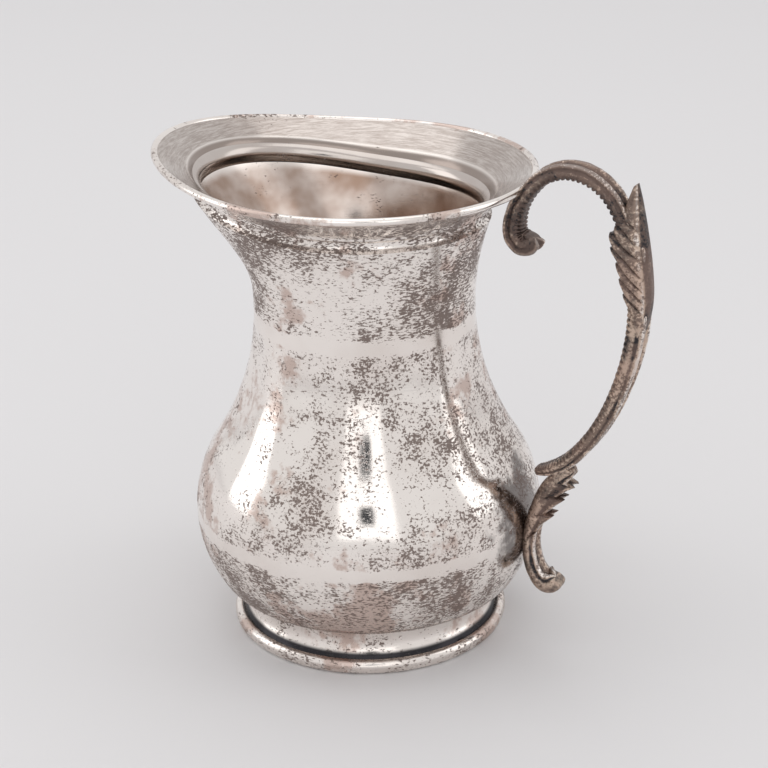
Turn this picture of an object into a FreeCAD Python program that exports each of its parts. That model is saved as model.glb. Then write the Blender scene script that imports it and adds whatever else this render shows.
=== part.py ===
"""Silver cream jug: a raised baluster vessel on a collet foot with a cast scroll handle.

Frame: +Z up, origin on the table under the middle of the foot. The handle is on +X and the
spout on -X. Lengths are in millimetres.
"""
import FreeCAD, Part
import math
import os

from FreeCAD import Placement, Rotation, Vector

DOC = FreeCAD.newDocument("cream_jug")

# ---------------------------------------------------------------- driving dimensions
SIZES = {
    # vessel
    "wall": (1.0, "thickness of the raised sheet"),
    "belly_radius": (33.5, "outside radius at the lower solder band"),
    "belly_height": (24.4, "height of the lower solder band"),
    "belly_round": (25.0, "radius of the belly's outline above the band"),
    "waist_radius": (20.9, "outside radius at the narrowest part of the neck"),
    "waist_height": (66.0, "height of the narrowest part of the neck"),
    "neck_seam": (63.8, "height of the upper solder band"),
    "lobe_count": (8, "flutes round the belly"),
    "lobe_depth": (0.55, "depth of the valleys between the lobes"),
    "bowl_round": (24.0, "radius of the bowl's outline below the band"),
    "bowl_turn": (33.0, "angle through which that radius runs"),
    "bowl_corner": (6.0, "radius that turns the bowl under to its floor"),
    # mouth
    "bead_radius": (22.9, "outside radius at the bottom of the rolled groove"),
    "bead_height": (84.2, "height of the rolled groove"),
    "bead_round": (1.3, "radius of the rolled groove"),
    "rim_radius": (31.7, "radius of the rim wire's centre line away from the spout"),
    "rim_height": (91.4, "height of the rim wire's centre line away from the spout"),
    "rim_wire": (0.7, "radius of the rim wire"),
    "spout_reach": (8.7, "how far the spout draws the rim out"),
    "spout_rise": (2.8, "how far the spout lifts the rim"),
    "throat_reach": (9.6, "how far the spout draws the rolled groove out"),
    "throat_rise": (4.4, "how far the spout lifts the rolled groove"),
    # foot
    "foot_radius": (27.0, "outside radius of the foot wire"),
    "foot_wire": (2.9, "height of the foot wire"),
    "foot_inner": (24.0, "inside radius of the foot wire"),
    "collet_base": (25.2, "outside radius of the collet where it meets the wire"),
    "collet_top": (24.2, "outside radius of the collet under the bowl"),
    "collet_dip": (0.8, "how far the collet is drawn in between its ends"),
    "collet_seat": (2.3, "height of the step on which the collet stands"),
    # handle
    "handle_reach": (21.4, "bow's centre line beyond the line between the two solder points"),
    "handle_width": (4.8, "width of the cast handle across its plane"),
    "scroll_depth": (3.1, "thickness of the upper scroll in its plane"),
    "bow_depth": (3.8, "thickness of the bow at its thickest"),
    "leaf_width": (6.4, "width of the leaf cap across the handle"),
}

sheet = DOC.addObject("Spreadsheet::Sheet", "Sizes")
for row, (alias, (value, meaning)) in enumerate(SIZES.items(), start=1):
    sheet.set(f"A{row}", meaning)
    sheet.set(f"B{row}", str(value))
    sheet.setAlias(f"B{row}", alias)
DOC.recompute()


def size(alias):
    """Value of one named cell."""
    return float(getattr(sheet, alias))


# ---------------------------------------------------------------- the vessel's outline
def waist_round():
    """Radius of the neck's hollow curve, which runs on from the belly's curve."""
    drop = size("belly_radius") - size("waist_radius")
    climb = size("waist_height") - size("belly_height")
    return (drop ** 2 + climb ** 2) / (2 * drop) - size("belly_round")


def wall_radius(height):
    """Outside radius of the plain vessel between the lower band and the rolled groove."""
    belly = size("belly_round")
    waist = waist_round()
    turn = belly / (belly + waist)
    join = size("belly_height") + turn * (size("waist_height") - size("belly_height"))
    if height < join:
        climb = height - size("belly_height")
        return size("belly_radius") - belly + math.sqrt(belly ** 2 - climb ** 2)
    climb = height - size("waist_height")
    return size("waist_radius") + waist - math.sqrt(waist ** 2 - climb ** 2)


def ease(value):
    """Smooth step from 0 to 1."""
    held = min(max(value, 0.0), 1.0)
    return held * held * (3 - 2 * held)


def spout_share(turn, sharpness):
    """1 at the spout and 0 at the handle; turn is the angle from the handle."""
    return math.sin(turn / 2) ** (2 * sharpness)


def neck_outline():
    """Outside outline of the neck above its seam, as (radius, height, stage).

    Stage is 0 where the wall is still round, 1 at the rolled groove and 2 at the rim.
    """
    seam = size("neck_seam")
    groove = size("bead_height")
    round_ = size("bead_round")
    lip_foot = groove + 0.95 * round_
    neck_top = groove - 1.0 * round_
    outline = []
    steps = 12
    for step in range(steps + 1):
        height = seam + (neck_top - seam) * step / steps
        stage = ease((height - seam - 4.0) / (groove - seam - 4.0)) ** 1.6
        outline.append((wall_radius(height), height, stage))
    for angle in (-40, 0, 40):
        lean = math.radians(angle)
        outline.append((
            size("bead_radius") + round_ * (1 - math.cos(lean)),
            groove + round_ * math.sin(lean),
            1.0,
        ))
    lip_top = size("rim_height") - size("rim_wire")
    lip_edge = size("rim_radius") - 0.25 * size("rim_wire")
    start = size("bead_radius") + 1.0 * round_
    for step in range(9):
        along = step / 8
        radius = start + (lip_edge - start) * along ** 1.25
        height = lip_foot + (lip_top - lip_foot) * along ** 0.85
        outline.append((radius, height, 1.0 + along))
    return outline


def drawn(radius, height, stage, turn):
    """Point of the mouth: the round outline drawn out and up towards the spout."""
    low = min(stage, 1.0)
    high = max(stage - 1.0, 0.0)
    reach = size("throat_reach") * low + (size("spout_reach") - size("throat_reach")) * high
    rise = size("throat_rise") * low + (size("spout_rise") - size("throat_rise")) * high
    share = spout_share(turn, 4.8 + 2.8 * high)
    wide = radius + reach * share
    return Vector(wide * math.cos(turn), wide * math.sin(turn), height + rise * share)


def inward(outline):
    """The same outline moved inwards by the wall, square to itself."""
    moved = []
    last = len(outline) - 1
    for index, (radius, height, stage) in enumerate(outline):
        before = outline[max(index - 1, 0)]
        after = outline[min(index + 1, last)]
        run = Vector(after[0] - before[0], 0, after[1] - before[1]).normalize()
        if index == 0:
            run = Vector(0, 0, 1)
        moved.append((radius - size("wall") * run.z, height + size("wall") * run.x, stage))
    return moved


def skin(rings):
    """Smooth face over closed rings of points, with no crease where each ring closes.

    The rings are the poles of a cubic surface, moved out by as much as it cuts the corners.
    """
    count = len(rings[0])
    swell = 3 / (2 + math.cos(math.tau / count))
    poles = [[Vector(point.x * swell, point.y * swell, point.z) for point in ring] for ring in rings]
    spans = len(rings) - 3
    surface = Part.BSplineSurface()
    surface.buildFromPolesMultsKnots(
        poles,
        [4] + [1] * (spans - 1) + [4],
        [1] * (count + 1),
        [float(knot) for knot in range(spans + 1)],
        [float(knot) for knot in range(count + 1)],
        False,
        True,
        3,
        3,
    )
    return surface.toShape()


def end_edge(face, top):
    """Closed edge at the upper or the lower end of a skin."""
    ends = sorted((edge for edge in face.Edges if edge.isClosed()), key=lambda edge: edge.CenterOfMass.z)
    return ends[-1] if top else ends[0]


def shell_between(outer_rings, inner_rings):
    """Solid between an outer and an inner skin, closed by a ruled ring at each end."""
    outer = skin(outer_rings)
    inner = skin(inner_rings)
    faces = [outer, inner]
    for top in (False, True):
        faces.append(Part.makeRuledSurface(end_edge(outer, top), end_edge(inner, top)))
    return closed(faces)


def closed(faces):
    """Solid inside a closed set of faces."""
    shell = Part.makeShell(faces)
    shell.sewShape()
    solid = Part.Solid(shell)
    if solid.Volume < 0:
        solid.reverse()
    return solid


def computed(name, shape):
    """Sub-part whose shape follows a formula."""
    feature = DOC.addObject("Part::Feature", name)
    feature.Label = name
    feature.Shape = shape
    feature.Placement = Placement()
    return feature


def neck_section():
    """Neck with its rolled groove and the flared lip, drawn out to the spout."""
    turns = [math.tau * step / 96 for step in range(96)]
    outline = neck_outline()
    outer = [[drawn(*point, turn) for turn in turns] for point in outline]
    inner = [[drawn(*point, turn) for turn in turns] for point in inward(outline)]
    return computed("neck_section", shell_between(outer, inner))



def belly_section():
    """Lobed middle of the vessel between the two solder bands."""
    turns = [math.tau * step / 192 for step in range(192)]
    low = size("belly_height")
    high = size("neck_seam")
    outer = []
    inner = []
    steps = 26
    for step in range(steps + 1):
        height = low + (high - low) * step / steps
        fade = ease((height - low - 1.0) / 15.0) * ease((high - 1.2 - height) / 3.0)
        radius = wall_radius(height)
        outer_ring = []
        inner_ring = []
        for turn in turns:
            valley = (0.5 + 0.5 * math.cos(size("lobe_count") * turn)) ** 1.5
            dip = size("lobe_depth") * fade * valley
            outer_ring.append(Vector((radius - dip) * math.cos(turn), (radius - dip) * math.sin(turn), height))
            hollow = radius - dip - size("wall")
            inner_ring.append(Vector(hollow * math.cos(turn), hollow * math.sin(turn), height))
        outer.append(outer_ring)
        inner.append(inner_ring)
    return computed("belly_section", shell_between(outer, inner))


def rim_wire():
    """Wire soldered along the lip's edge, flattened where it meets the sheet."""
    outline = neck_outline()
    outside = Vector(outline[-1][0], 0, outline[-1][1])
    inside_point = inward(outline)[-1]
    inside = Vector(inside_point[0], 0, inside_point[1])
    run = Vector(outline[-1][0] - outline[-2][0], 0, outline[-1][1] - outline[-2][1]).normalize()
    across = (inside - outside).normalize()
    half = size("wall") / 2
    centre = (outside + inside) * 0.5 + run * math.sqrt(size("rim_wire") ** 2 - half ** 2)
    opening = math.pi - math.asin(half / size("rim_wire"))
    turns = [math.tau * step / 96 for step in range(96)]
    rings = []
    steps = 12
    for step in range(steps + 1):
        angle = opening * (2 * step / steps - 1)
        point = centre + (run * math.cos(angle) + across * math.sin(angle)) * size("rim_wire")
        rings.append([drawn(point.x, point.z, 2.0, turn) for turn in turns])
    wrap = skin(rings)
    ends = [edge for edge in wrap.Edges if edge.isClosed()]
    return computed("rim_wire", closed([wrap, Part.makeRuledSurface(ends[0], ends[1])]))


# ---------------------------------------------------------------- turned pieces
def plane(body, role):
    """One of a body's own origin planes."""
    return next(item for item in body.Origin.OriginFeatures if item.Role == role)


def sketch_on(body, name, role, offset=None):
    """Sketch attached to one of the body's own origin planes."""
    sketch = body.newObject("Sketcher::SketchObject", name)
    sketch.AttachmentSupport = [(plane(body, role), "")]
    sketch.MapMode = "FlatFace"
    if offset is not None:
        sketch.AttachmentOffset = offset
    return sketch


def line(start, end):
    """Straight edge in a sketch."""
    return Part.LineSegment(Vector(start[0], start[1], 0), Vector(end[0], end[1], 0))


def arc(start, middle, end):
    """Arc through three points in a sketch."""
    return Part.Arc(*[Vector(x, y, 0) for x, y in (start, middle, end)])


def turned(name, edges):
    """Body turned about Z from an outline in the XZ plane."""
    body = DOC.addObject("PartDesign::Body", name)
    body.Label = name
    outline = sketch_on(body, f"{name}_outline", "XZ_Plane")
    outline.addGeometry(edges, False)
    DOC.recompute()
    turning = body.newObject("PartDesign::Revolution", f"{name}_turning")
    turning.Profile = outline
    turning.ReferenceAxis = (outline, ["V_Axis"])
    turning.Angle = 360.0
    DOC.recompute()
    return body


def bowl_arcs(inset):
    """Centres and radii of the bowl's two outline arcs, moved in by inset, and their meeting angle."""
    turn = math.radians(size("bowl_turn"))
    first_centre = (size("belly_radius") - size("bowl_round"), size("belly_height"))
    step = size("bowl_round") - size("bowl_corner")
    second_centre = (
        first_centre[0] + step * math.cos(turn),
        first_centre[1] - step * math.sin(turn),
    )
    return first_centre, size("bowl_round") - inset, second_centre, size("bowl_corner") - inset, turn


def around(centre, radius, angle):
    """Point on an arc, with the angle measured down from level."""
    return (centre[0] + radius * math.cos(angle), centre[1] - radius * math.sin(angle))


def bowl_floor():
    """Height of the bowl's underside."""
    centre = bowl_arcs(0.0)[2]
    return centre[1] - size("bowl_corner")


def base_section():
    """Bottom bowl below the lower band, with its floor."""
    quarter = math.pi / 2
    edges = []
    ends = []
    for inset in (0.0, size("wall")):
        first, first_radius, second, second_radius, turn = bowl_arcs(inset)
        top = around(first, first_radius, 0.0)
        meet = around(first, first_radius, turn)
        low = around(second, second_radius, quarter)
        edges.append(arc(top, around(first, first_radius, turn / 2), meet))
        edges.append(arc(meet, around(second, second_radius, (turn + quarter) / 2), low))
        edges.append(line(low, (0.0, low[1])))
        ends.append((top, (0.0, low[1])))
    edges.append(line(ends[0][0], ends[1][0]))
    edges.append(line(ends[0][1], ends[1][1]))
    return turned("base_section", edges)


def foot_collet():
    """Spreading collar between the foot wire and the bowl."""
    top = bowl_floor()
    seat = size("collet_seat")
    wall = size("wall")
    middle = (seat + top) / 2
    waist = (size("collet_base") + size("collet_top")) / 2 - size("collet_dip")
    outer = arc((size("collet_base"), seat), (waist, middle), (size("collet_top"), top))
    inner = arc(
        (size("collet_base") - wall, seat), (waist - wall, middle), (size("collet_top") - wall, top)
    )
    return turned("foot_collet", [
        outer,
        line((size("collet_top"), top), (size("collet_top") - wall, top)),
        inner,
        line((size("collet_base") - wall, seat), (size("collet_base"), seat)),
    ])


def foot_wire():
    """Heavy wire on which the jug stands, stepped inside to hold the collet."""
    inner = size("foot_inner")
    step = size("collet_base")
    seat = size("collet_seat")
    top = size("foot_wire")
    bulge = size("foot_radius")
    shoulder = bulge - 0.45 * top
    return turned("foot_wire", [
        line((inner, 0.0), (shoulder, 0.0)),
        arc((shoulder, 0.0), (bulge, top / 2), (shoulder, top)),
        line((shoulder, top), (step, top)),
        line((step, top), (step, seat)),
        line((step, seat), (inner, seat)),
        line((inner, seat), (inner, 0.0)),
    ])


# ---------------------------------------------------------------- cast handle
def handle_point(out, up, share):
    """Point of the handle's plane: share 1 is the rim's solder point and 0 the belly's."""
    rim = Vector(size("rim_radius") + size("rim_wire"), 0, size("rim_height"))
    belly = Vector(size("belly_radius"), 0, size("belly_height"))
    anchor = belly + (rim - belly) * share
    return anchor + Vector(out, 0, up)


def bar(name, stations, width):
    """Body lofted through oval sections square to a line of stations (point, depth)."""
    body = DOC.addObject("PartDesign::Body", name)
    body.Label = name
    sections = []
    last = len(stations) - 1
    for index, (point, depth) in enumerate(stations):
        run = stations[min(index + 1, last)][0] - stations[max(index - 1, 0)][0]
        lean = math.degrees(math.atan2(run.x, run.z))
        offset = Placement(point, Rotation(Vector(0, 1, 0), lean))
        section = sketch_on(body, f"{name}_section_{index}", "XY_Plane", offset)
        across = width / 2
        thick = depth / 2
        if across > thick:
            oval = Part.Ellipse(Vector(0, across, 0), Vector(thick, 0, 0), Vector(0, 0, 0))
        else:
            oval = Part.Ellipse(Vector(thick, 0, 0), Vector(0, across, 0), Vector(0, 0, 0))
        section.addGeometry(oval, False)
        sections.append(section)
    DOC.recompute()
    loft = body.newObject("PartDesign::AdditiveLoft", f"{name}_loft")
    loft.Profile = sections[0]
    loft.Sections = sections[1:]
    DOC.recompute()
    return body


def across_pad(body, name, edges, width):
    """Pad of an outline in the handle's plane, equally to both sides."""
    outline = sketch_on(body, f"{name}_outline", "XZ_Plane")
    outline.addGeometry(edges, False)
    DOC.recompute()
    pad = body.newObject("PartDesign::Pad", name)
    pad.Profile = outline
    pad.Midplane = True
    pad.Length = width
    DOC.recompute()
    return pad


def flat(point):
    """Coordinates of a handle point in a sketch on the XZ plane."""
    return (point.x, point.z)


def fitted(name, blanks, neighbours):
    """Blanks joined and filed to seat on their neighbours: the largest piece that is left."""
    filed = []
    for blank in blanks:
        piece = blank.Shape.Solids[0]
        for neighbour in neighbours:
            piece = piece.cut(neighbour.Shape)
        filed.append(max(piece.Solids, key=lambda solid: solid.Volume))
    shape = filed[0]
    for extra in filed[1:]:
        shape = shape.fuse(extra)
    kept = max(shape.Solids, key=lambda solid: solid.Volume)
    return computed(name, kept)


def upper_scroll():
    """Cast scroll soldered under the lip, rising over the hand to meet the bow."""
    depth = size("scroll_depth")
    stations = [
        (handle_point(-1.7, -9.4, 1), depth),
        (handle_point(-1.6, -6.0, 1), depth),
        (handle_point(-0.6, -2.6, 1), depth),
        (handle_point(1.2, 0.4, 1), 0.85 * depth),
        (handle_point(3.6, 2.9, 1), 0.9 * depth),
        (handle_point(7.0, 4.3, 1), depth),
        (handle_point(10.6, 4.2, 1), depth),
        (handle_point(13.9, 2.7, 1), depth),
        (handle_point(16.5, 0.2, 1), depth),
        (handle_point(18.2, -3.0, 1), depth),
    ]
    blank = bar("upper_scroll_blank", stations, size("handle_width"))
    eye = handle_point(0.2, -9.6, 1)
    curl = Part.Circle(Vector(eye.x, eye.z, 0), Vector(0, 0, 1), 0.8 * depth)
    across_pad(blank, "upper_scroll_curl", [curl], size("handle_width")).setExpression(
        "Length", "Sizes.handle_width"
    )
    DOC.recompute()
    return fitted("upper_scroll", [blank], [neck, rim]), stations[-1]


def handle_bow(top_station):
    """Long bow from the upper scroll down to the lower one, with its end curled to the belly."""
    reach = size("handle_reach")
    depth = size("bow_depth")
    stations = [
        top_station,
        (handle_point(reach - 1.2, -8.0, 0.965), 0.9 * depth),
        (handle_point(reach - 0.2, 0, 0.80), 0.97 * depth),
        (handle_point(reach, 0, 0.70), depth),
        (handle_point(reach - 0.8, 0, 0.60), 0.96 * depth),
        (handle_point(reach - 2.7, 0, 0.495), 0.9 * depth),
        (handle_point(reach - 5.6, 0, 0.39), 0.84 * depth),
        (handle_point(reach - 9.1, 0, 0.305), 0.78 * depth),
        (handle_point(reach - 13.3607, 15.879, 0), 0.7 * depth),
        (handle_point(reach - 17.0233, 13.601, 0), 0.55 * depth),
        (handle_point(reach - 19.8112, 12.864, 0), 0.3 * depth),
    ]
    return bar("handle_bow", stations, size("handle_width"))


def lower_scroll(bow):
    """Cast scroll soldered to the belly, with a leaf under the bow and a curled foot."""
    depth = size("scroll_depth")
    stations = [
        (handle_point(6.6, 15.2, 0), 1.3 * depth),
        (handle_point(4.7, 10.6, 0), 1.15 * depth),
        (handle_point(2.7, 6.0, 0), depth),
        (handle_point(1.4, 1.6, 0), 0.9 * depth),
        (handle_point(1.0, -2.6, 0), 0.9 * depth),
        (handle_point(1.6, -6.2, 0), depth),
        (handle_point(3.3, -9.2, 0), depth),
        (handle_point(5.4, -10.3, 0), depth),
    ]
    blank = bar("lower_scroll_blank", stations, size("handle_width"))
    eye = handle_point(5.9, -9.3, 0)
    curl = Part.Circle(Vector(eye.x, eye.z, 0), Vector(0, 0, 1), 0.62 * depth)
    across_pad(blank, "lower_scroll_curl", [curl], size("handle_width")).setExpression(
        "Length", "Sizes.handle_width"
    )
    spur = bar("lower_scroll_spur", [
        (handle_point(4.4, 8.6, 0), 1.1 * depth),
        (handle_point(7.4, 11.4, 0), depth),
        (handle_point(10.2, 14.0, 0), 0.3 * depth),
    ], 0.8 * size("handle_width"))
    DOC.recompute()
    return fitted("lower_scroll", [blank, spur], [belly, base, bow])


def leaf_cap(scroll, bow):
    """Acanthus leaf that wraps the joint of the scroll and the bow, its tip a thumb rest."""
    back = [(20.6, 3.6, 1), (22.0, -2.0, 1), (23.2, -9.0, 1), (24.0, -16.0, 1), (23.3, -24.5, 1)]
    lobes = [(21.6, -22.0, 1), (19.2, -15.6, 1), (20.2, -14.4, 1), (18.4, -11.2, 1),
             (19.2, -9.8, 1), (16.9, -6.4, 1), (18.4, -4.6, 1), (19.6, -1.0, 1)]
    back_points = [Vector(*flat(handle_point(*corner)), 0) for corner in back]
    lobe_points = [Vector(*flat(handle_point(*corner)), 0) for corner in lobes]
    spine = Part.BSplineCurve()
    spine.interpolate(back_points)
    corners = [back_points[-1]] + lobe_points + [back_points[0]]
    edges = [spine]
    for start, end in zip(corners[:-1], corners[1:]):
        edges.append(Part.LineSegment(start, end))
    blank = DOC.addObject("PartDesign::Body", "leaf_cap_blank")
    blank.Label = "leaf_cap_blank"
    across_pad(blank, "leaf_cap_pad", edges, size("leaf_width")).setExpression(
        "Length", "Sizes.leaf_width"
    )
    DOC.recompute()
    return fitted("leaf_cap", [blank], [scroll, bow])


# ---------------------------------------------------------------- the assembly
neck = neck_section()
belly = belly_section()
base = base_section()
rim = rim_wire()
collet = foot_collet()
wire = foot_wire()
scroll, joint_station = upper_scroll()
bow = handle_bow(joint_station)
low = lower_scroll(bow)
leaf = leaf_cap(scroll, bow)
NODES = [neck, belly, base, rim, collet, wire, scroll, bow, low, leaf]

DOC.recompute()
for item in DOC.Objects:
    if "Invalid" in item.State or "Error" in item.State:
        raise RuntimeError(f"{item.Label} did not recompute: {item.State}")
for node in NODES:
    if node.Shape.isNull() or not node.Shape.isValid() or len(node.Shape.Solids) != 1:
        raise RuntimeError(f"{node.Label} is not one valid solid")

os.makedirs("parts", exist_ok=True)
for node in NODES:
    node.Shape.exportStep(f"parts/{node.Label}.step")
    box = node.Shape.BoundBox
    print(f"{node.Label}: {node.Shape.Volume:.0f} mm3, "
          f"x {box.XMin:.1f} {box.XMax:.1f}, y {box.YMin:.1f} {box.YMax:.1f}, z {box.ZMin:.1f} {box.ZMax:.1f}")
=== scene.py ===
"""Silver cream jug: turned and drawn vessel, collet foot and cast leaf-and-scroll handle."""

import math

import bmesh
import bpy
from mathutils import Matrix, Vector, noise


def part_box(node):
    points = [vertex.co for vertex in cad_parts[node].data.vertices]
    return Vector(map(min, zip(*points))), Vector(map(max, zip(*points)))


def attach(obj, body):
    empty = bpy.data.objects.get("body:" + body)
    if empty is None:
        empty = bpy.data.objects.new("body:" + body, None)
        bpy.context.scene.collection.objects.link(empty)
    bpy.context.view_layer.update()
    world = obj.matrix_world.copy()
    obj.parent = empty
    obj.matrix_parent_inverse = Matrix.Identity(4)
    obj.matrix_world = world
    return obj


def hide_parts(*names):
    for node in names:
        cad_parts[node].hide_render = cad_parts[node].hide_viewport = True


bl_info = {
    "name": "Silver Cream Jug",
    "version": (1, 0, 0),
    "blender": (4, 5, 0),
    "location": "3D View > Sidebar > Cream Jug",
    "description": "Builds a tarnished silver cream jug on its packed frame",
    "category": "Add Mesh",
}

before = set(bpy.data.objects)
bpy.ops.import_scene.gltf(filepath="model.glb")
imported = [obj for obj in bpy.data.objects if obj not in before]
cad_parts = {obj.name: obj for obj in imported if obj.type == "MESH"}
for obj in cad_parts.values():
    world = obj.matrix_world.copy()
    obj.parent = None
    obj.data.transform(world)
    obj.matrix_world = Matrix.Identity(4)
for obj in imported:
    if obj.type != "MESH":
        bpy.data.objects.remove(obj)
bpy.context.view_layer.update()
BOXES = {name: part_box(name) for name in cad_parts}
MM = 0.001
FULL = math.tau


def length(label, words, millimetres):
    """Length property with its default in millimetres."""
    return bpy.props.FloatProperty(
        name=label, description=words, default=millimetres * MM, unit="LENGTH", precision=5
    )


def colour(label, words, red, green, blue):
    """Colour property."""
    return bpy.props.FloatVectorProperty(
        name=label, description=words, default=(red, green, blue), subtype="COLOR", size=3,
        min=0.0, max=1.0
    )


class JugSizes(bpy.types.PropertyGroup):
    """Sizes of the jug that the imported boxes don't already give."""

    wall: length("Wall", "Thickness of the raised sheet", 1.0)
    belly_round: length("Belly Round", "Radius of the belly's outline above the band", 25.0)
    waist_radius: length("Waist Radius", "Outside radius at the narrowest part of the neck", 20.9)
    waist_height: length("Waist Height", "Height of the narrowest part of the neck", 66.0)
    bowl_round: length("Bowl Round", "Radius of the bowl's outline below the band", 24.0)
    bowl_corner: length("Bowl Corner", "Radius that turns the bowl under to its floor", 6.0)
    bowl_turn: bpy.props.FloatProperty(
        name="Bowl Turn", description="Angle through which the bowl's outline runs",
        default=math.radians(33.0), unit="ROTATION"
    )
    lobe_count: bpy.props.IntProperty(name="Lobes", description="Flutes round the belly", default=8)
    lobe_depth: length("Lobe Depth", "Depth of the valleys between the lobes", 0.55)
    bead_radius: length("Groove Radius", "Outside radius at the bottom of the rolled groove", 22.9)
    bead_height: length("Groove Height", "Height of the rolled groove", 84.2)
    bead_round: length("Groove Round", "Radius of the rolled groove", 1.3)
    rim_radius: length("Rim Radius", "Radius of the rim wire's line away from the spout", 31.7)
    rim_height: length("Rim Height", "Height of the rim wire's line away from the spout", 91.4)
    rim_wire: length("Rim Wire", "Radius of the rim wire", 0.7)
    collet_top: length("Collet Top", "Outside radius of the collet under the bowl", 24.2)
    foot_inner: length("Foot Inside", "Radius of the hole in the foot wire", 24.0)
    spout_reach: length("Spout Reach", "How far the spout draws the rim out", 8.7)
    spout_rise: length("Spout Rise", "How far the spout lifts the rim", 2.8)
    throat_reach: length("Throat Reach", "How far the spout draws the rolled groove out", 9.6)
    throat_rise: length("Throat Rise", "How far the spout lifts the rolled groove", 4.4)
    handle_reach: length("Handle Reach", "Bow beyond the line between its solder points", 21.4)
    handle_width: length("Handle Width", "Width of the cast handle across its plane", 4.7)
    scroll_depth: length("Scroll Depth", "Thickness of the scrolls in the handle's plane", 3.0)
    bow_depth: length("Bow Depth", "Thickness of the bow at its thickest", 3.7)


class JugLooks(bpy.types.PropertyGroup):
    """Colours of the silver and of the stage."""

    silver: colour("Silver", "Bright polished silver", 0.93, 0.875, 0.83)
    pits: colour("Pits", "Sulphide in the pits", 0.15, 0.105, 0.088)
    stain: colour("Stain", "Warm stain on the sheet", 0.47, 0.31, 0.25)
    warm: colour("Inside", "Warm tarnish inside the neck", 0.28, 0.17, 0.115)
    oxide: colour("Oxide", "Dark oxide in the cast recesses", 0.035, 0.033, 0.036)
    worn: colour("Worn Cast", "Worn high parts of the casting", 0.60, 0.47, 0.38)
    slate: colour("Slate", "Dark tarnish round the solder points", 0.12, 0.105, 0.10)
    slate_lip: colour("Lip", "Grey-brown tarnish on the lip's upper side", 0.30, 0.245, 0.215)
    floor: colour("Floor", "Pale floor", 0.74, 0.73, 0.735)


def sizes():
    """The jug's sizes."""
    return bpy.context.scene.jug_sizes


def looks():
    """The jug's colours."""
    return bpy.context.scene.jug_looks


# ---------------------------------------------------------------- the vessel's outline
def band_ring():
    """(radius, height) of the lower solder band, where the bowl meets the belly."""
    corner = BOXES["base_section"][1]
    return corner.x, corner.z


def neck_seam():
    """Height of the upper solder band."""
    return BOXES["belly_section"][1].z


def wall_radius(s, height):
    """Outside radius of the plain vessel between the lower band and the rolled groove."""
    radius, band = band_ring()
    drop = radius - s.waist_radius
    climb = s.waist_height - band
    waist = (drop ** 2 + climb ** 2) / (2 * drop) - s.belly_round
    join = band + climb * s.belly_round / (s.belly_round + waist)
    if height < join:
        return radius - s.belly_round + math.sqrt(s.belly_round ** 2 - (height - band) ** 2)
    return s.waist_radius + waist - math.sqrt(waist ** 2 - (height - s.waist_height) ** 2)


def ease(value):
    """Smooth step from 0 to 1."""
    held = min(max(value, 0.0), 1.0)
    return held * held * (3 - 2 * held)


def neck_outline(s):
    """Outside outline of the neck, as (radius, height, stage).

    Stage is 0 where the wall is round, 1 at the rolled groove and 2 at the rim.
    """
    seam = neck_seam()
    top = s.bead_height - s.bead_round
    reach = s.bead_height - seam - 4 * MM
    outline = []
    for step in range(41):
        height = seam + (top - seam) * step / 40
        stage = ease((height - seam - 4 * MM) / reach) ** 1.6
        outline.append((wall_radius(s, height), height, stage))
    for step in range(11):
        lean = math.radians(-50 + 10 * step)
        outline.append((
            s.bead_radius + s.bead_round * (1 - math.cos(lean)),
            s.bead_height + s.bead_round * math.sin(lean),
            1.0,
        ))
    low = s.bead_height + 0.95 * s.bead_round
    high = s.rim_height - s.rim_wire
    start = s.bead_radius + s.bead_round
    edge = s.rim_radius - 0.25 * s.rim_wire
    for step in range(25):
        along = step / 24
        outline.append((
            start + (edge - start) * along ** 1.25, low + (high - low) * along ** 0.85, 1.0 + along
        ))
    return outline


def bowl_outline(s, inset):
    """Outline of the bowl from the band down to the middle of its floor, moved in by inset."""
    radius, band = band_ring()
    centre = Vector((radius - s.bowl_round, 0, band))
    outline = []
    for step in range(25):
        turn = s.bowl_turn * step / 24
        spoke = Vector((math.cos(turn), 0, -math.sin(turn)))
        outline.append(centre + spoke * (s.bowl_round - inset))
    spoke = Vector((math.cos(s.bowl_turn), 0, -math.sin(s.bowl_turn)))
    centre = centre + spoke * (s.bowl_round - s.bowl_corner)
    for step in range(1, 17):
        turn = s.bowl_turn + (math.pi / 2 - s.bowl_turn) * step / 16
        spoke = Vector((math.cos(turn), 0, -math.sin(turn)))
        outline.append(centre + spoke * (s.bowl_corner - inset))
    floor = outline[-1]
    for share in (0.75, 0.5, 0.25, 0.0):
        outline.append(Vector((floor.x * share, 0, floor.z)))
    return [(point.x, point.z, 0.0) for point in outline]


def inward(outline, wall):
    """The same outline moved inwards by the wall, square to itself."""
    moved = []
    last = len(outline) - 1
    for index, (radius, height, stage) in enumerate(outline):
        before = outline[max(index - 1, 0)]
        after = outline[min(index + 1, last)]
        run = Vector((after[0] - before[0], after[1] - before[1])).normalized()
        if index == 0:
            run = Vector((0, 1))
        moved.append((radius - wall * run.y, height + wall * run.x, stage))
    return moved


def drawn(s, radius, height, stage, turn):
    """Point of the mouth: the round outline drawn out and up towards the spout."""
    low = min(stage, 1.0)
    high = max(stage - 1.0, 0.0)
    reach = s.throat_reach * low + (s.spout_reach - s.throat_reach) * high
    rise = s.throat_rise * low + (s.spout_rise - s.throat_rise) * high
    share = math.sin(turn / 2) ** 2
    share = share ** (4.8 + 2.8 * high)
    wide = radius + reach * share
    return Vector((wide * math.cos(turn), wide * math.sin(turn), height + rise * share))


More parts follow.
